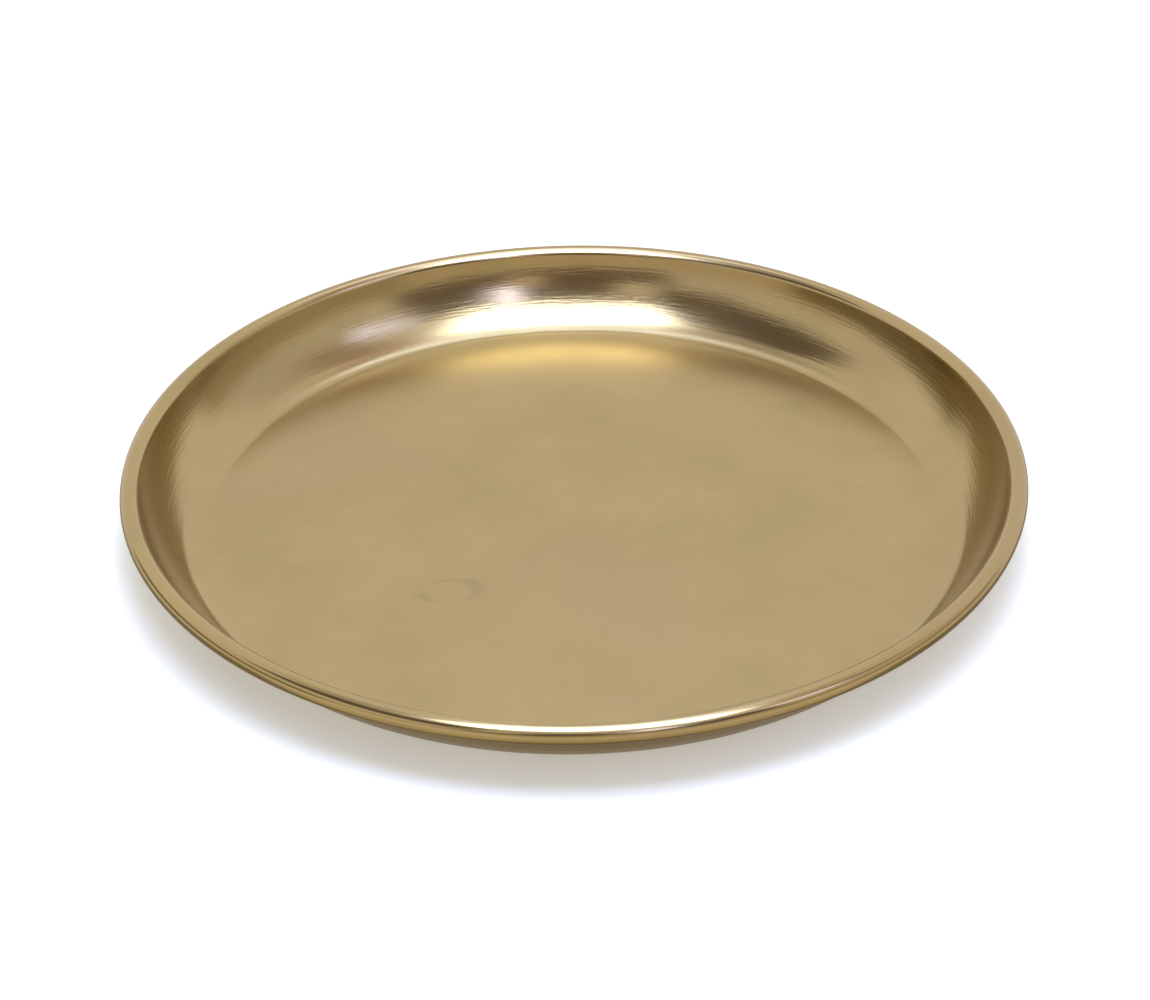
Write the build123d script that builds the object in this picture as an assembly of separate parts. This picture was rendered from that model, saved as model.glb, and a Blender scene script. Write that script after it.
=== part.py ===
from build123d import *

import math
import os

# Round metal offering plate, 12 in across the rim, spun from one sheet with its edge rolled over a wire.
#
# Two pieces:
#   spun_plate  one disc of sheet: flat floor, round corner, curved wall, and the rolled edge (the bead)
#   rim_wire    the wire ring that the edge is rolled over, its two ends butted
#
# Frame: millimetres, +Z up along the plate's axis, origin at the centre of the flat underside it rests on.
# Every profile is drawn at azimuth 0, in the XZ plane, where x is the radius, and is revolved about Z.
# A slope is the sheet's angle from horizontal, in degrees: 0 on the floor, and rising up the wall.

# Driving dimensions.
RIM_DIAMETER = 304.8  # over the rolled edge
OVERALL_HEIGHT = 25.8  # resting face to the top of the rolled edge
FLOOR_DIAMETER = 250.8  # flat floor, inside
SHEET = 1.0  # sheet thickness, the same all over
BEAD_DIAMETER = 6.7  # outside of the rolled edge
CORNER_RADIUS = 11.5  # inside, where the floor turns up
TOP_SLOPE = 71.5  # of the wall where it runs into the rolled edge
WIRE_CLEARANCE = 0.1  # radial, between the wire and the roll
ROLL_GAP = 0.1  # between the rolled sheet's cut edge and the wall, were the wall straight
WIRE_END_GAP = 0.5  # between the wire's two ends

# The rolled edge.
BEAD_RADIUS = BEAD_DIAMETER / 2
HOLLOW_RADIUS = BEAD_RADIUS - SHEET  # inside the roll
WIRE_RADIUS = HOLLOW_RADIUS - WIRE_CLEARANCE
BEAD_X = RIM_DIAMETER / 2 - BEAD_RADIUS  # centre of the roll
BEAD_Z = OVERALL_HEIGHT - BEAD_RADIUS

# The corner's arcs, and where the wall's inner face meets the roll.
TOP_SIN = math.sin(math.radians(TOP_SLOPE))
TOP_COS = math.cos(math.radians(TOP_SLOPE))
CORNER_X = FLOOR_DIAMETER / 2
CORNER_Z = SHEET + CORNER_RADIUS
WALL_TOP_X = BEAD_X - BEAD_RADIUS * TOP_SIN
WALL_TOP_Z = BEAD_Z + BEAD_RADIUS * TOP_COS

# The wall is one large arc, tangent to the corner's arc below and to the roll above.
REACH_X = WALL_TOP_X - CORNER_X
REACH_Z = WALL_TOP_Z - CORNER_Z
SPARE_LENGTH = REACH_X * TOP_SIN - REACH_Z * TOP_COS - CORNER_RADIUS
WALL_RADIUS = (REACH_X**2 + REACH_Z**2 - CORNER_RADIUS**2) / (2 * SPARE_LENGTH)  # inside
WALL_X = WALL_TOP_X - WALL_RADIUS * TOP_SIN
WALL_Z = WALL_TOP_Z + WALL_RADIUS * TOP_COS
CORNER_SLOPE = math.degrees(math.atan2(CORNER_X - WALL_X, WALL_Z - CORNER_Z))  # where the two arcs meet

# Angles about the roll's centre, counted anticlockwise from +X.
ROLL_START = TOP_SLOPE + 90  # where the wall runs into the roll
FACING_ANGLE = math.degrees(math.acos((HOLLOW_RADIUS - ROLL_GAP) / BEAD_RADIUS))
ROLL_END = ROLL_START + FACING_ANGLE - 360  # where the cut edge faces the wall's outer side


def around(centre_x, centre_z, radius, degrees):
    """The point at that angle and radius about a centre in the XZ plane."""
    angle = math.radians(degrees)
    return (centre_x + radius * math.cos(angle), 0, centre_z + radius * math.sin(angle))


def arc(centre_x, centre_z, radius, first, last):
    """A circular arc in the XZ plane, from one angle to another."""
    middle = (first + last) / 2
    return ThreePointArc(*[around(centre_x, centre_z, radius, a) for a in (first, middle, last)])


def corner_and_wall(offset):
    """The corner's arc and the wall's, drawn upwards, on the sheet's inside or offset outwards from it."""
    corner = arc(CORNER_X, CORNER_Z, CORNER_RADIUS + offset, -90, CORNER_SLOPE - 90)
    wall = arc(WALL_X, WALL_Z, WALL_RADIUS + offset, CORNER_SLOPE - 90, TOP_SLOPE - 90)
    return corner, wall


def plate_section():
    """Half of the sheet's section, from the axis out to the cut edge under the roll."""
    corner_in, wall_in = corner_and_wall(0)
    corner_out, wall_out = corner_and_wall(SHEET)
    roll_in = arc(BEAD_X, BEAD_Z, HOLLOW_RADIUS, ROLL_START, ROLL_END)
    roll_out = arc(BEAD_X, BEAD_Z, BEAD_RADIUS, ROLL_START, ROLL_END)
    edges = [
        Line((0, 0, 0), (0, 0, SHEET)),
        Line((0, 0, SHEET), corner_in @ 0),
        corner_in,
        wall_in,
        roll_out,
        Line(roll_out @ 1, roll_in @ 1),
        roll_in,
        wall_out,
        corner_out,
        Line(corner_out @ 0, (0, 0, 0)),
    ]
    return make_face(edges)


def spun_plate():
    """The sheet, floor to rolled edge."""
    return revolve(plate_section(), Axis.Z, 360)


def rim_wire():
    """The ring of wire inside the roll, open by a small gap where its ends butt."""
    gap_angle = math.degrees(WIRE_END_GAP / BEAD_X)
    section = Plane.XZ * Pos(BEAD_X, BEAD_Z) * Circle(WIRE_RADIUS)
    return Rot(0, 0, gap_angle / 2) * revolve(section, Axis.Z, 360 - gap_angle)


PIECES = {
    "spun_plate": spun_plate,
    "rim_wire": rim_wire,
}

os.makedirs("parts", exist_ok=True)
for name, make in PIECES.items():
    piece = make()
    export_step(piece, f"parts/{name}.step")
    print(name, "volume", round(piece.volume), "mm3, size", piece.bounding_box().size)
print("wall radius", round(WALL_RADIUS, 2), "from slope", round(CORNER_SLOPE, 1), "to", TOP_SLOPE)
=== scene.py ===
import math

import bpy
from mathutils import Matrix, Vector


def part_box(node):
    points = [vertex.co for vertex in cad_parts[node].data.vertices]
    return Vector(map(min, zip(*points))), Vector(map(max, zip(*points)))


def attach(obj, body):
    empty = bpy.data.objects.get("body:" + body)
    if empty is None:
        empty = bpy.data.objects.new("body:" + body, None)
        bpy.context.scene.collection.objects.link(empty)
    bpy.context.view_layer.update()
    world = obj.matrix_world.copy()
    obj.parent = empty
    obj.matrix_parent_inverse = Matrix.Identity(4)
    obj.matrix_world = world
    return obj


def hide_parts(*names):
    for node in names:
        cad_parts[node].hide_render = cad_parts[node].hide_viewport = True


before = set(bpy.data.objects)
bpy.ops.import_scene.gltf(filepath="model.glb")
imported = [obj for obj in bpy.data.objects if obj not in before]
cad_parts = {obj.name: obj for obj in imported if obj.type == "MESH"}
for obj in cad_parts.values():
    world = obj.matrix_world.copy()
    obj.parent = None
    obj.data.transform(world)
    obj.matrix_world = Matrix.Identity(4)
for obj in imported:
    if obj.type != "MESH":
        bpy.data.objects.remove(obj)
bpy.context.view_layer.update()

# Looks of the offering plate: one spun brass sheet with its edge rolled over a ring of steel wire.
#
# Metres, +Z up, the origin at the centre of the flat underside. Both pieces are made by turning a section
# about Z, and are a little out of true. A slope is the sheet's angle from horizontal: 0 on the floor.
# An azimuth in the studio counts from -Y, where the camera stands, towards +X.

PLATE_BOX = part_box("spun_plate")
WIRE_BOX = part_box("rim_wire")

# The plate's section. The CAD gives the rim, the roll and the wire. The rest repeats its driving dimensions.
SHEET = 0.001
FLOOR_RADIUS = 0.1254
CORNER_RADIUS = 0.0115
TOP_SLOPE = math.radians(71.5)
ROLL_GAP = 0.0001
WIRE_END_GAP = 0.0005
WIRE_RADIUS = (WIRE_BOX[1].z - WIRE_BOX[0].z) / 2
BEAD_X = WIRE_BOX[1].x - WIRE_RADIUS
BEAD_Z = (WIRE_BOX[1].z + WIRE_BOX[0].z) / 2
BEAD_RADIUS = PLATE_BOX[1].z - BEAD_Z
HOLLOW_RADIUS = BEAD_RADIUS - SHEET

# How finely the pieces are cut.
TURNS = 480  # steps round the plate
FLOOR_RINGS = 16
FLOOR_CROWDING = 1.7  # over 1, the floor's rings crowd towards the corner
CORNER_STEPS = 18
WALL_STEPS = 16
UNDER_STEPS = 14  # of the corner and of the wall, underneath
ROLL_STEPS = 56
HOLLOW_STEPS = 26
CUT_STEPS = 3
WIRE_SIDES = 20
WIRE_SHARP = math.radians(40)  # the wire's cut ends stay crisp
CUT_ROUNDING = 0.0002  # of the cut edge's two corners
ON_AXIS = 1e-9  # a smaller radius is a single point on the axis

# Hand spinning leaves the rim a little out of true: (waves round the rim, rise in metres, turn in degrees).
RIM_WAVES = ((2, 0.00007, 40), (3, 0.00011, 65), (5, 0.00005, -20))
FLOOR_WAVE = 0.00003  # height of the broad low swells in the floor
FLOOR_WAVE_LENGTH = 0.055
FLOOR_WAVE_START = 0.8  # where along X the swells begin, in radians
FLOOR_WAVE_STRETCH = 0.8  # swells along Y, to each along X
FLOOR_WAVE_BEND = 0.3  # how far their lines bend sideways, in radians
FLOOR_WAVE_BENDS = 0.4  # bends, to each swell
FLOOR_WAVE_FULL = 0.7 * FLOOR_RADIUS  # the swells die away beyond this radius
FLOOR_WAVE_FADE = 0.2 * FLOOR_RADIUS  # and over this width

# Marks of use.
MARK_CENTRE = (-0.0418, -0.0413)  # of the faint oval ring left on the floor
MARK_LONG = 0.0098  # its half length and half width, to the middle of the line
MARK_SHORT = 0.0062
MARK_TURN = math.radians(9)
MARK_LINE = 0.0025  # reach of the line either side of its middle
MARK_SWELL = 0.35  # how much further it reaches at the oval's two ends
MARK_WANDER = 0.003
MARK_WANDERS = 210.0  # to a metre
MARK_GAPS = (145, -95)  # angles round the oval, in degrees, where the line is broken
MARK_GAP_EDGES = (0.70, 0.95)  # cosines, from the gap's middle
MARK_GAP_LEFT = 0.2  # strength of the line in a gap
MARK_PATCHES = 160.0  # to a metre, of fainter and stronger line
MARK_PATCH_EDGES = (0.25, 0.55)  # noise values
MARK_FAINTEST = 0.6


# ---- section -------------------------------------------------------------------------------------

def turned(centre, radius, angle):
    """The point at that angle (radians from +X) and radius about a centre, as (x, z)."""
    return centre[0] + radius * math.cos(angle), centre[1] + radius * math.sin(angle)


def arc(centre, radius, first, last, steps):
    """Points along an arc, both ends included."""
    return [turned(centre, radius, first + (last - first) * i / steps) for i in range(steps + 1)]


def wall_arc():
    """Centre and radius of the wall's inner arc, tangent to the corner's arc and to the roll."""
    top = turned((BEAD_X, BEAD_Z), BEAD_RADIUS, TOP_SLOPE + math.pi / 2)
    reach_x = top[0] - FLOOR_RADIUS
    reach_z = top[1] - SHEET - CORNER_RADIUS
    sine, cosine = math.sin(TOP_SLOPE), math.cos(TOP_SLOPE)
    spare = reach_x * sine - reach_z * cosine - CORNER_RADIUS
    radius = (reach_x**2 + reach_z**2 - CORNER_RADIUS**2) / (2 * spare)
    return (top[0] - radius * sine, top[1] + radius * cosine), radius


CORNER_CENTRE = (FLOOR_RADIUS, SHEET + CORNER_RADIUS)
WALL_CENTRE, WALL_RADIUS = wall_arc()
CORNER_SLOPE = math.atan2(CORNER_CENTRE[0] - WALL_CENTRE[0], WALL_CENTRE[1] - CORNER_CENTRE[1])
ROLL_START = TOP_SLOPE + math.pi / 2  # angles about the middle of the bead
ROLL_END = ROLL_START + math.acos((HOLLOW_RADIUS - ROLL_GAP) / BEAD_RADIUS) - 2 * math.pi
GROOVE = turned((BEAD_X, BEAD_Z), BEAD_RADIUS + ROLL_GAP, ROLL_END)  # between the cut edge and the wall


def rounded_cut(outer, inner):
    """The sheet's cut edge, from the roll's outside to its inside, with both corners eased."""
    length = math.dist(outer, inner)
    along = ((inner[0] - outer[0]) / length, (inner[1] - outer[1]) / length)
    back = (-along[1], along[0])  # into the sheet
    points = []
    for corner, turn in ((outer, 0), (inner, math.pi / 2)):
        side = 1 if corner is outer else -1
        middle = [corner[i] + CUT_ROUNDING * (side * along[i] + back[i]) for i in (0, 1)]
        for step in range(CUT_STEPS + 1):
            angle = turn + math.pi / 2 * step / CUT_STEPS
            reach = [-math.cos(angle) * along[i] - math.sin(angle) * back[i] for i in (0, 1)]
            points.append([middle[i] + CUT_ROUNDING * reach[i] for i in (0, 1)])
    return points


def plate_section():
    """The sheet's whole outline from the axis on top, over the roll, to the axis underneath."""
    bead = (BEAD_X, BEAD_Z)
    flat, bend, top = (slope - math.pi / 2 for slope in (0.0, CORNER_SLOPE, TOP_SLOPE))
    ease = CUT_ROUNDING / BEAD_RADIUS
    floor = [FLOOR_RADIUS * (1 - (1 - i / FLOOR_RINGS) ** FLOOR_CROWDING) for i in range(FLOOR_RINGS)]
    points = [(x, SHEET) for x in floor]
    points += arc(CORNER_CENTRE, CORNER_RADIUS, flat, bend, CORNER_STEPS)[:-1]
    points += arc(WALL_CENTRE, WALL_RADIUS, bend, top, WALL_STEPS)[:-1]
    points += arc(bead, BEAD_RADIUS, ROLL_START, ROLL_END + ease, ROLL_STEPS)
    points += rounded_cut(turned(bead, BEAD_RADIUS, ROLL_END), turned(bead, HOLLOW_RADIUS, ROLL_END))
    points += arc(bead, HOLLOW_RADIUS, ROLL_END + ease, ROLL_START, HOLLOW_STEPS)
    points += arc(WALL_CENTRE, WALL_RADIUS + SHEET, top, bend, UNDER_STEPS)[1:]
    points += arc(CORNER_CENTRE, CORNER_RADIUS + SHEET, bend, flat, UNDER_STEPS)[1:]
    points += [(x, 0.0) for x in reversed(floor)]
    return points


# ---- meshes --------------------------------------------------------------------------------------

def out_of_true(x, y, z):
    """Moves a point as the real sheet is out of true: the rim's waves, and low swells in the floor."""
    azimuth = math.atan2(y, x)
    share = min(1.0, max(0.0, z / PLATE_BOX[1].z)) ** 2
    rise = sum(size * math.cos(waves * azimuth + math.radians(turn)) for waves, size, turn in RIM_WAVES)
    return x, y, z + share * rise + (floor_swell(x, y) if z > SHEET / 2 else 0.0)


def floor_swell(x, y):
    """Rise of the floor's upper face at a place."""
    fade = math.exp(-((max(0.0, math.hypot(x, y) - FLOOR_WAVE_FULL) / FLOOR_WAVE_FADE) ** 2))
    turn = 2 * math.pi / FLOOR_WAVE_LENGTH
    bend = FLOOR_WAVE_BEND * math.sin(turn * x * FLOOR_WAVE_BENDS)
    swell = FLOOR_WAVE * math.sin(turn * x + FLOOR_WAVE_START)
    return fade * (swell * math.sin(turn * y * FLOOR_WAVE_STRETCH + bend))


def revolve(name, section):
    """A mesh made by turning about Z a section that starts and ends on the axis."""
    points, faces, rings = [], [], []
    for x, z in section:
        count = 1 if x < ON_AXIS else TURNS
        rings.append(range(len(points), len(points) + count))
        for step in range(count):
            azimuth = 2 * math.pi * step / TURNS
            points.append(out_of_true(x * math.cos(azimuth), x * math.sin(azimuth), z))
    for low, high in zip(rings, rings[1:]):
        for step in range(TURNS):
            after = (step + 1) % TURNS
            if len(low) == 1:
                faces.append((low[0], high[step], high[after]))
            elif len(high) == 1:
                faces.append((low[step], high[0], low[after]))
            else:
                faces.append((low[step], high[step], high[after], low[after]))
    return mesh_object(name, points, faces)


def mesh_object(name, points, faces):
    """A smooth-shaded object with that mesh."""
    mesh = bpy.data.meshes.new(name)
    mesh.from_pydata(points, [], faces)
    mesh.validate()
    mesh.shade_smooth()
    made = bpy.data.objects.new(name, mesh)
    bpy.context.scene.collection.objects.link(made)
    return made


def plate_sheet():
    """The spun sheet, in place of the CAD's."""
    sheet = revolve("plate_sheet", plate_section())
    sheet.data.materials.append(satin_brass())
    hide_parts("spun_plate")
    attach(sheet, "root")
    return sheet


def edge_wire():
    """The ring of wire inside the roll, open by a small gap where its cut ends butt."""
    points, faces = [], []
    gap = WIRE_END_GAP / BEAD_X
    for step in range(TURNS):
        azimuth = gap / 2 + (2 * math.pi - gap) * step / (TURNS - 1)
        for side in range(WIRE_SIDES):
            x, z = turned((BEAD_X, BEAD_Z), WIRE_RADIUS, 2 * math.pi * side / WIRE_SIDES)
            points.append(out_of_true(x * math.cos(azimuth), x * math.sin(azimuth), z))
    for step in range(TURNS - 1):
        for side in range(WIRE_SIDES):
            here, beside = step * WIRE_SIDES + side, step * WIRE_SIDES + (side + 1) % WIRE_SIDES
            faces.append((here, here + WIRE_SIDES, beside + WIRE_SIDES, beside))
    faces.append(tuple(range(WIRE_SIDES)))
    faces.append(tuple(range(len(points) - 1, len(points) - WIRE_SIDES - 1, -1)))
    wire = mesh_object("edge_wire", points, faces)
    wire.data.set_sharp_from_angle(angle=WIRE_SHARP)
    wire.data.materials.append(drawn_steel())
    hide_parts("rim_wire")
    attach(wire, "root")
    return wire


# ---- node writing --------------------------------------------------------------------------------

class Nodes:
    """Writes shader nodes. A value is a number, a colour, or another node's output."""

    def __init__(self, tree):
        self.tree = tree
        tree.nodes.clear()

    def add(self, kind, inputs=None, output=0, **settings):
        node = self.tree.nodes.new(kind)
        for name, value in settings.items():
            setattr(node, name, value)
        for name, value in (inputs or {}).items():
            self.put(node.inputs[name], value)
        return node.outputs[output]

    def put(self, socket, value):
        if isinstance(value, bpy.types.NodeSocket):
            self.tree.links.new(value, socket)
        else:
            socket.default_value = value

    def math(self, operation, *values):
        return self.add("ShaderNodeMath", dict(enumerate(values)), operation=operation)

    def join(self, x, y, z):
        return self.add("ShaderNodeCombineXYZ", {"X": x, "Y": y, "Z": z})

    def split(self, vector):
        node = self.tree.nodes.new("ShaderNodeSeparateXYZ")
        self.put(node.inputs[0], vector)
        return node.outputs["X"], node.outputs["Y"], node.outputs["Z"]

    def length(self, vector):
        return self.add("ShaderNodeVectorMath", {0: vector}, output="Value", operation="LENGTH")

    def distance(self, vector, place):
        return self.add("ShaderNodeVectorMath", {0: vector, 1: place}, output="Value", operation="DISTANCE")

    def step(self, value, low, high, start=0.0, end=1.0):
        """A smooth change from start to end as value goes from low to high."""
        inputs = {"Value": value, "From Min": low, "From Max": high, "To Min": start, "To Max": end}
        return self.add("ShaderNodeMapRange", inputs, interpolation_type="SMOOTHSTEP")

    def noise(self, vector, scale, detail=2.0, roughness=0.5):
        inputs = {"Vector": vector, "Scale": scale, "Detail": detail, "Roughness": roughness}
        return self.add("ShaderNodeTexNoise", inputs)

    def mix(self, factor, first, second):
        """Colour between first and second."""
        return self.add("ShaderNodeMix", {0: factor, 6: first, 7: second}, output=2, data_type="RGBA")

    def bump(self, height):
        """A normal from a height in metres."""
        return self.add("ShaderNodeBump", {"Height": height, "Distance": 1.0, "Strength": 1.0})

    def finish(self, shader, kind="ShaderNodeOutputMaterial"):
        node = self.tree.nodes.new(kind)
        self.put(node.inputs["Surface"], shader)


def new_material(name):
    material = bpy.data.materials.new(name)
    material.use_nodes = True
    return material, Nodes(material.node_tree)


# ---- materials -----------------------------------------------------------------------------------

BRASS = (0.478, 0.368, 0.169, 1)
BRASS_DEEP = (0.434, 0.335, 0.150, 1)
BRASS_ROSE = (0.468, 0.352, 0.186, 1)
BRASS_STAIN = (0.388, 0.296, 0.132, 1)
# Dark brown of the specks, also used for the painted shade along the groove under the roll.
PATINA_AND_SHADE = (0.15, 0.09, 0.04, 1)
STEEL = (0.42, 0.41, 0.39, 1)
RUST = (0.22, 0.11, 0.05, 1)

# Where the floor's finish gives way to the wall's, and the wall's to the rim's, as radii.
FLOOR_TO_WALL = (FLOOR_RADIUS - 0.004, FLOOR_RADIUS + 0.004)
WALL_TO_RIM = (BEAD_X - BEAD_RADIUS - 0.002, BEAD_X - BEAD_RADIUS + 0.001)
FLOOR_ROUGHNESS = 0.235
WALL_ROUGHNESS = 0.165

# Spin lines: how many to a metre across them and along them, and how deep, in metres.
FINE_LINES = (3200.0, 26.0)
FINE_DEPTH = 4.5e-6
BROAD_LINES = (900.0, 60.0)
BROAD_DEPTH_FLOOR = 3e-6
BROAD_DEPTH_WALL = 5.6e-5
BROAD_DEPTH_RIM = 1e-5

LINE_ROUGHNESS = 0.08  # between a fine line's rough and smooth

# Noise patterns: patches to a metre, and the values between which one look gives way to another.
CLOUDS = 22.0
CLOUD_EDGES = (0.36, 0.66)
CLOUD_ROUGHNESS_EDGES = (0.3, 0.75)
CLOUD_ROUGHNESS = (-0.015, 0.025)
BLUSHES = 9.0
BLUSH_EDGES = (0.45, 0.72)
BLUSH_MOST = 0.55
GRAINS = 2600.0
GRAIN_DEPTH = 0.7e-6

UPPER_FACE = (0.2 * SHEET, 0.8 * SHEET)  # heights: the mark is on the floor's upper face alone
MARK_DARKENING = 0.8
MARK_ROUGHNESS = 0.02
SPECKS = 42.0  # to a metre
SPECK_EDGES = (0.008, 0.016)  # of the distance between specks
SPECK_DARKENING = 0.75
SPECK_DEPTH = 4e-5
# The painted shade along the groove between the roll's cut edge and the wall: how far it reaches, its
# patches, how dark it is, and the roughness there.
GROOVE_SHADE_REACH = (0.0004, 0.0009)  # of the darkening, from the groove: less than the sheet's thickness
GROOVE_SHADE_PATCHES = 60.0  # to a metre, of lighter and darker groove
GROOVE_SHADE_PATCH_EDGES = (0.3, 0.6)
GROOVE_SHADE_DARKENING = (0.45, 0.9)
CREVICE_ROUGHNESS = 0.25

DIE_LINES = 5000.0  # to a metre
DIE_DEPTH = 3e-6
RUST_PATCHES = 70.0  # to a metre
RUST_EDGES = (0.5, 0.68)
RUST_MOST = 0.7
STEEL_ROUGHNESS = 0.3
RUST_ROUGHNESS = 0.7
DIE_ROUGHNESS = 0.1


def oval_mark(n, x, y, place):
    """Strength of the faint oval ring on the floor: thick at its two ends, and broken in two places."""
    from_x = n.math("SUBTRACT", x, MARK_CENTRE[0])
    from_y = n.math("SUBTRACT", y, MARK_CENTRE[1])
    cosine, sine = math.cos(MARK_TURN), math.sin(MARK_TURN)
    length = n.math("ADD", n.math("MULTIPLY", from_x, cosine), n.math("MULTIPLY", from_y, sine))
    breadth = n.math("SUBTRACT", n.math("MULTIPLY", from_y, cosine), n.math("MULTIPLY", from_x, sine))
    along = n.math("DIVIDE", length, MARK_LONG)
    across = n.math("DIVIDE", breadth, MARK_SHORT)
    angle = n.math("ARCTAN2", across, along)
    off = n.math("SUBTRACT", n.length(n.join(along, across, 0.0)), 1.0)
    off = n.math("MULTIPLY", off, (MARK_LONG + MARK_SHORT) / 2)
    wander = n.math("SUBTRACT", n.noise(place, MARK_WANDERS, 2.0), 0.5)
    wander = n.math("MULTIPLY", wander, MARK_WANDER)
    thick = n.math("COSINE", n.math("MULTIPLY", angle, 2.0))
    thick = n.math("ADD", n.math("MULTIPLY", thick, MARK_SWELL * MARK_LINE), MARK_LINE)
    mark = n.step(n.math("ABSOLUTE", n.math("ADD", off, wander)), 0.0, thick, 1.0, 0.0)
    for gap in MARK_GAPS:
        near = n.math("COSINE", n.math("SUBTRACT", angle, math.radians(gap)))
        mark = n.math("MULTIPLY", mark, n.step(near, *MARK_GAP_EDGES, 1.0, MARK_GAP_LEFT))
    patches = n.noise(place, MARK_PATCHES, 3.0)
    return n.math("MULTIPLY", mark, n.step(patches, *MARK_PATCH_EDGES, MARK_FAINTEST, 1.0))


def spin_lines(n, x, y, along, lines):
    """Streaks that run round the plate. Lines says how many to a metre, across them and along them."""
    across, length = lines
    across = n.math("MULTIPLY", along, across)
    place = n.join(across, n.math("MULTIPLY", x, length), n.math("MULTIPLY", y, length))
    return n.noise(place, 1.0, 3.0, 0.6)


def satin_brass():
    """Satin brass: circular spin lines, faint clouding, a few specks, the oval mark, and painted shade along
    the groove under the roll.
    """
    material, n = new_material("satin_brass_spun")
    place = n.add("ShaderNodeTexCoord", output="Object")
    x, y, z = n.split(place)
    radius = n.length(n.join(x, y, 0.0))
    along = n.math("ADD", radius, z)

    fine = spin_lines(n, x, y, along, FINE_LINES)
    broad = spin_lines(n, x, y, along, BROAD_LINES)
    cloud = n.noise(place, CLOUDS, 4.0, 0.55)
    blush = n.noise(place, BLUSHES, 3.0, 0.5)
    grain = n.noise(place, GRAINS, 2.0, 0.6)

    colour = n.mix(n.step(cloud, *CLOUD_EDGES), BRASS, BRASS_DEEP)
    colour = n.mix(n.step(blush, *BLUSH_EDGES, 0.0, BLUSH_MOST), colour, BRASS_ROSE)

    upper_face = n.step(z, *UPPER_FACE)
    mark = n.math("MULTIPLY", oval_mark(n, x, y, place), upper_face)
    colour = n.mix(n.math("MULTIPLY", mark, MARK_DARKENING), colour, BRASS_STAIN)

    from_speck = n.add("ShaderNodeTexVoronoi", {"Vector": place, "Scale": SPECKS})
    speck = n.step(from_speck, *SPECK_EDGES, 1.0, 0.0)
    colour = n.mix(n.math("MULTIPLY", speck, SPECK_DARKENING), colour, PATINA_AND_SHADE)

    # Painted shade: the colour is darkened, in patches, along the groove between the roll's cut edge and the
    # wall.
    groove = n.distance(n.join(radius, 0.0, z), (GROOVE[0], 0.0, GROOVE[1]))
    groove_shade = n.step(groove, *GROOVE_SHADE_REACH, 1.0, 0.0)
    patches = n.noise(place, GROOVE_SHADE_PATCHES, 3.0)
    groove_shade = n.math("MULTIPLY", groove_shade, n.step(patches, *GROOVE_SHADE_PATCH_EDGES, *GROOVE_SHADE_DARKENING))
    colour = n.mix(groove_shade, colour, PATINA_AND_SHADE)

    polish = n.step(radius, *FLOOR_TO_WALL, FLOOR_ROUGHNESS, WALL_ROUGHNESS)
    roughness = n.math("ADD", polish, n.step(cloud, *CLOUD_ROUGHNESS_EDGES, *CLOUD_ROUGHNESS))
    lines = n.math("SUBTRACT", fine, 0.5)
    roughness = n.math("ADD", roughness, n.math("MULTIPLY", lines, LINE_ROUGHNESS))
    roughness = n.math("ADD", roughness, n.math("MULTIPLY", mark, MARK_ROUGHNESS))
    roughness = n.math("ADD", roughness, n.math("MULTIPLY", groove_shade, CREVICE_ROUGHNESS))

    height = n.math("MULTIPLY", fine, FINE_DEPTH)
    depth = n.step(radius, *FLOOR_TO_WALL, BROAD_DEPTH_FLOOR, BROAD_DEPTH_WALL)
    depth = n.math("SUBTRACT", depth, n.step(radius, *WALL_TO_RIM, 0.0, BROAD_DEPTH_WALL - BROAD_DEPTH_RIM))
    height = n.math("ADD", height, n.math("MULTIPLY", broad, depth))
    height = n.math("ADD", height, n.math("MULTIPLY", grain, GRAIN_DEPTH))
    height = n.math("SUBTRACT", height, n.math("MULTIPLY", speck, SPECK_DEPTH))

    shader = n.add("ShaderNodeBsdfPrincipled", {
        "Base Color": colour,
        "Metallic": 1.0,
        "Roughness": roughness,
        "Normal": n.bump(height),
    })
    n.finish(shader)
    return material


def drawn_steel():
    """Dull drawn steel wire: die lines along it, with light brown rust in patches."""
    material, n = new_material("drawn_steel_wire")
    place = n.add("ShaderNodeTexCoord", output="Object")
    x, y, z = n.split(place)
    radius = n.length(n.join(x, y, 0.0))
    section = n.join(n.math("MULTIPLY", radius, DIE_LINES), n.math("MULTIPLY", z, DIE_LINES), 0.0)
    lines = n.noise(section, 1.0, 2.0)
    rust = n.step(n.noise(place, RUST_PATCHES, 4.0, 0.6), *RUST_EDGES)
    colour = n.mix(n.math("MULTIPLY", rust, RUST_MOST), STEEL, RUST)
    roughness = n.step(rust, 0.0, 1.0, STEEL_ROUGHNESS, RUST_ROUGHNESS)
    roughness = n.math("ADD", roughness, n.math("MULTIPLY", lines, DIE_ROUGHNESS))
    shader = n.add("ShaderNodeBsdfPrincipled", {
        "Base Color": colour,
        "Metallic": 1.0,
        "Roughness": roughness,
        "Normal": n.bump(n.math("MULTIPLY", lines, DIE_DEPTH)),
    })
    n.finish(shader)
    return material


# ---- studio --------------------------------------------------------------------------------------

PALE = (1.00, 0.97, 1.01)
WINDOW = (0.84, 0.93, 1.90)
LAMP = (0.90, 1.03, 1.55)
TAN = (1.15, 1.00, 0.79)
ROSE = (1.20, 0.97, 0.94)
DUSK = (1.25, 0.96, 0.84)
OLIVE = (1.28, 1.00, 0.62)
PALE_WALLS = (0.96, 0.93, 0.97, 1)
BACKDROP = (1, 1, 1, 1)  # what the camera itself sees


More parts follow.
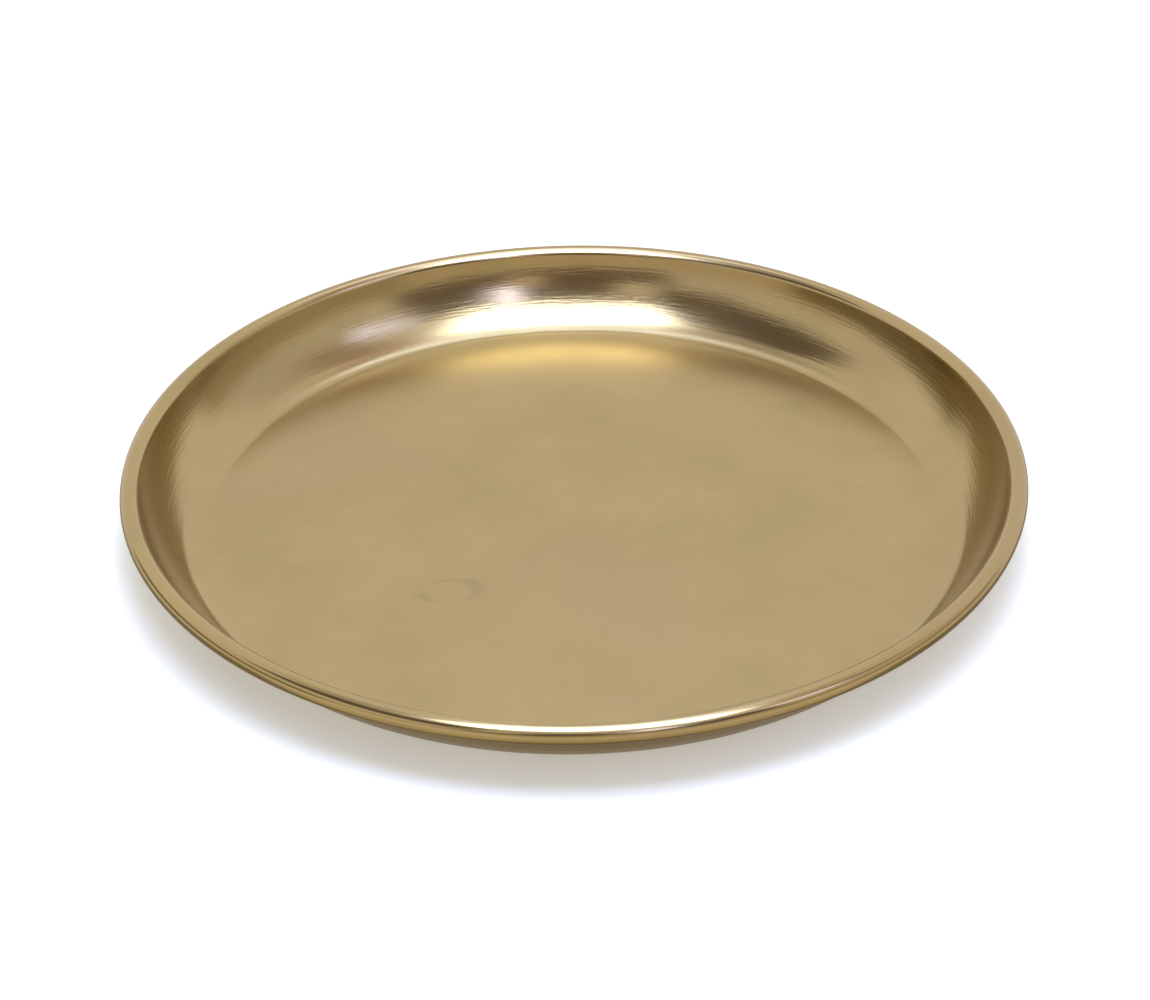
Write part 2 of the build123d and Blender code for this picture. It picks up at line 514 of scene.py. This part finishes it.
class Studio:
    """The light round the plate, as panels far away. Each is laid over those before it, with soft edges."""

    def __init__(self):
        world = bpy.data.worlds.new("studio")
        world.use_nodes = True
        bpy.context.scene.world = world
        self.n = Nodes(world.node_tree)
        direction = self.n.add("ShaderNodeTexCoord", output="Generated")
        self.x, self.y, self.z = self.n.split(direction)
        self.elevation = self.n.math("DEGREES", self.n.math("ARCSINE", self.z))
        towards = self.n.math("MULTIPLY", self.y, -1.0)
        self.azimuth = self.n.math("DEGREES", self.n.math("ARCTAN2", self.x, towards))
        self.light = PALE_WALLS

    def inside(self, value, centre, half, soft):
        """One where value is within half of centre, fading to nothing over the width soft."""
        off = self.n.math("ABSOLUTE", self.n.math("SUBTRACT", value, centre))
        return self.n.step(off, half - soft / 2, half + soft / 2, 1.0, 0.0)

    def lay(self, shape, colour, strength):
        lit = tuple(strength * c for c in colour) + (1,)
        self.light = self.n.mix(shape, self.light, lit)

    def below(self, full, clear, colour, strength):
        """Everything under an elevation: laid fully up to the first, and not at all from the second."""
        self.lay(self.n.step(self.elevation, full, clear, 1.0, 0.0), colour, strength)

    def panel(self, azimuth, elevation, width, height, soft, colour, strength):
        """A panel centred in a direction, with its width, height and soft edge as angles in degrees."""
        turn = self.n.math("WRAP", self.n.math("SUBTRACT", self.azimuth, azimuth), 180.0, -180.0)
        shape = self.n.math(
            "MULTIPLY",
            self.inside(turn, 0.0, width / 2, soft),
            self.inside(self.elevation, elevation, height / 2, soft),
        )
        self.lay(shape, colour, strength)

    def finish(self):
        seen = self.n.add("ShaderNodeLightPath", output="Is Camera Ray")
        colour = self.n.mix(seen, self.light, BACKDROP)
        self.n.finish(self.n.add("ShaderNodeBackground", {"Color": colour}), "ShaderNodeOutputWorld")


def studio_light():
    """Pale walls over a dim ground, with a dark end behind the camera that has windows in it."""
    studio = Studio()

    # The ground, darker under the plate and behind it.
    studio.below(-40.0, 8.0, TAN, 0.66)
    studio.below(-85.0, -38.0, TAN, 0.24)
    studio.panel(180, -50, 200, 60, 16, TAN, 0.28)

    # Low walls in front, to the left and to the right.
    studio.panel(0, 9, 150, 16, 8, TAN, 0.64)
    studio.panel(-92, 6, 66, 14, 10, OLIVE, 0.19)
    studio.panel(80, 9, 70, 18, 8, TAN, 0.46)

    # Upper walls to the left and right, a little dimmer than the rest.
    studio.panel(-104, 66, 84, 18, 10, PALE, 0.60)
    studio.panel(98, 64, 70, 14, 8, ROSE, 0.64)

    # The dark end, and the pale wall on its left.
    studio.panel(-60, 46, 66, 26, 9, ROSE, 0.15)
    studio.panel(0, 33, 100, 28, 5, DUSK, 0.15)
    studio.panel(-66, 25, 76, 14, 8, PALE, 0.86)

    # Windows and pale openings in the dark end.
    studio.panel(-20, 37, 13, 12, 8, PALE, 1.1)
    studio.panel(20, 41, 7, 14, 5, WINDOW, 5.0)
    studio.panel(13, 30, 10, 8, 6, ROSE, 1.0)

    # The pale wall on the right, its dimmer top, and two windows at its near end.
    studio.panel(84, 30, 50, 28, 8, PALE, 0.78)
    studio.panel(82, 46, 22, 22, 8, ROSE, 0.45)
    studio.panel(57, 43, 9, 8, 5, WINDOW, 2.4)
    studio.panel(66, 39, 10, 8, 5, WINDOW, 2.4)
    studio.finish()


SOFTBOX_HEIGHT = 0.72
SOFTBOX_MIDDLE = 0.03  # of its width, along X
SOFTBOX_HALF = 0.28  # half its width at the front
SOFTBOX_TAPER = 0.42  # share of that width left at the back
SOFTBOX_TAPERING = (-0.26, 0.18)  # where it narrows, along Y
SOFTBOX_Y = (-0.388, 0.52)
SOFTBOX_EDGE = 0.09  # width of its faded edge
SOFTBOX_FRONT = 6.3  # brightness from the front to the middle
SOFTBOX_BACK = 2.4
SOFTBOX_DIMMING = (0.0, 0.26)  # where it dims, along Y


def softbox():
    """A soft box close over the plate, wide and bright towards the camera, and fading to the back."""
    edge = SOFTBOX_EDGE / 2
    low = (SOFTBOX_MIDDLE - SOFTBOX_HALF - edge, SOFTBOX_Y[0] - edge)
    high = (SOFTBOX_MIDDLE + SOFTBOX_HALF + edge, SOFTBOX_Y[1] + edge)
    around = [(low[0], low[1]), (high[0], low[1]), (high[0], high[1]), (low[0], high[1])]
    box = mesh_object("studio_softbox", [(x, y, SOFTBOX_HEIGHT) for x, y in around], [(0, 1, 2, 3)])
    material, n = new_material("softbox_light")
    x, y, z = n.split(n.add("ShaderNodeTexCoord", output="Object"))
    half = n.step(y, *SOFTBOX_TAPERING, SOFTBOX_HALF, SOFTBOX_HALF * SOFTBOX_TAPER)
    past = n.math("SUBTRACT", n.math("ABSOLUTE", n.math("SUBTRACT", x, SOFTBOX_MIDDLE)), half)
    shape = n.step(past, -edge, edge, 1.0, 0.0)
    shape = n.math("MULTIPLY", shape, n.step(y, SOFTBOX_Y[0] - edge, SOFTBOX_Y[0] + edge))
    shape = n.math("MULTIPLY", shape, n.step(y, SOFTBOX_Y[1] - edge, SOFTBOX_Y[1] + edge, 1.0, 0.0))
    strength = n.step(y, *SOFTBOX_DIMMING, SOFTBOX_FRONT, SOFTBOX_BACK)
    glow = n.add("ShaderNodeEmission", {"Color": LAMP + (1,), "Strength": strength})
    clear = n.add("ShaderNodeBsdfTransparent")
    n.finish(n.add("ShaderNodeMixShader", {0: shape, 1: clear, 2: glow}))
    box.data.materials.append(material)
    box.visible_camera = False


STAGE_REACH = 12.0  # of the floor, each way
STAGE_COLOUR = (0.87, 0.90, 0.82, 1)
STAGE_GLOW = (1, 1, 0.97, 1)  # lightens the shadow
STAGE_GLOW_STRENGTH = 0.3


def pale_floor():
    """A plain pale floor. From below it isn't there, so the underside can be seen."""
    reach = STAGE_REACH
    corners = [(-reach, -reach, 0), (reach, -reach, 0), (reach, reach, 0), (-reach, reach, 0)]
    floor = mesh_object("studio_floor", corners, [(0, 1, 2, 3)])
    material, n = new_material("pale_floor")
    below = n.add("ShaderNodeNewGeometry", output="Backfacing")
    matt = n.add("ShaderNodeBsdfDiffuse", {"Color": STAGE_COLOUR})
    glow = n.add("ShaderNodeEmission", {"Color": STAGE_GLOW, "Strength": STAGE_GLOW_STRENGTH})
    pale = n.add("ShaderNodeAddShader", {0: matt, 1: glow})
    clear = n.add("ShaderNodeBsdfTransparent")
    n.finish(n.add("ShaderNodeMixShader", {0: below, 1: pale, 2: clear}))
    floor.data.materials.append(material)
    floor.visible_glossy = False


# ---- camera --------------------------------------------------------------------------------------

CAMERA_ELEVATION = math.radians(32.45)
CAMERA_DISTANCE = 1.1  # from the middle of the rim
CAMERA_ROLL = math.radians(-0.89)
SENSOR_WIDTH = 36  # millimetres
LENS = 102.0  # millimetres
VIEW_REACH = 30  # metres
AIM = Vector((0.0003, -0.0204, BEAD_Z))  # what the middle of the picture shows


def camera():
    """A long lens, looking down on the plate from the front."""
    elevation = CAMERA_ELEVATION
    rim_middle = Vector((0, 0, BEAD_Z))
    place = rim_middle + CAMERA_DISTANCE * Vector((0, -math.cos(elevation), math.sin(elevation)))
    data = bpy.data.cameras.new("camera")
    data.sensor_width = SENSOR_WIDTH
    data.lens = LENS
    data.dof.use_dof = False
    data.clip_end = VIEW_REACH
    made = bpy.data.objects.new("camera", data)
    look = (AIM - place).to_track_quat("-Z", "Y").to_matrix().to_4x4()
    made.matrix_world = Matrix.Translation(place) @ look @ Matrix.Rotation(CAMERA_ROLL, 4, "Z")
    bpy.context.scene.collection.objects.link(made)
    bpy.context.scene.camera = made


# ---- scene ---------------------------------------------------------------------------------------

bpy.context.scene.view_settings.view_transform = "Standard"
camera()
studio_light()
softbox()
pale_floor()
plate_sheet()
edge_wire()
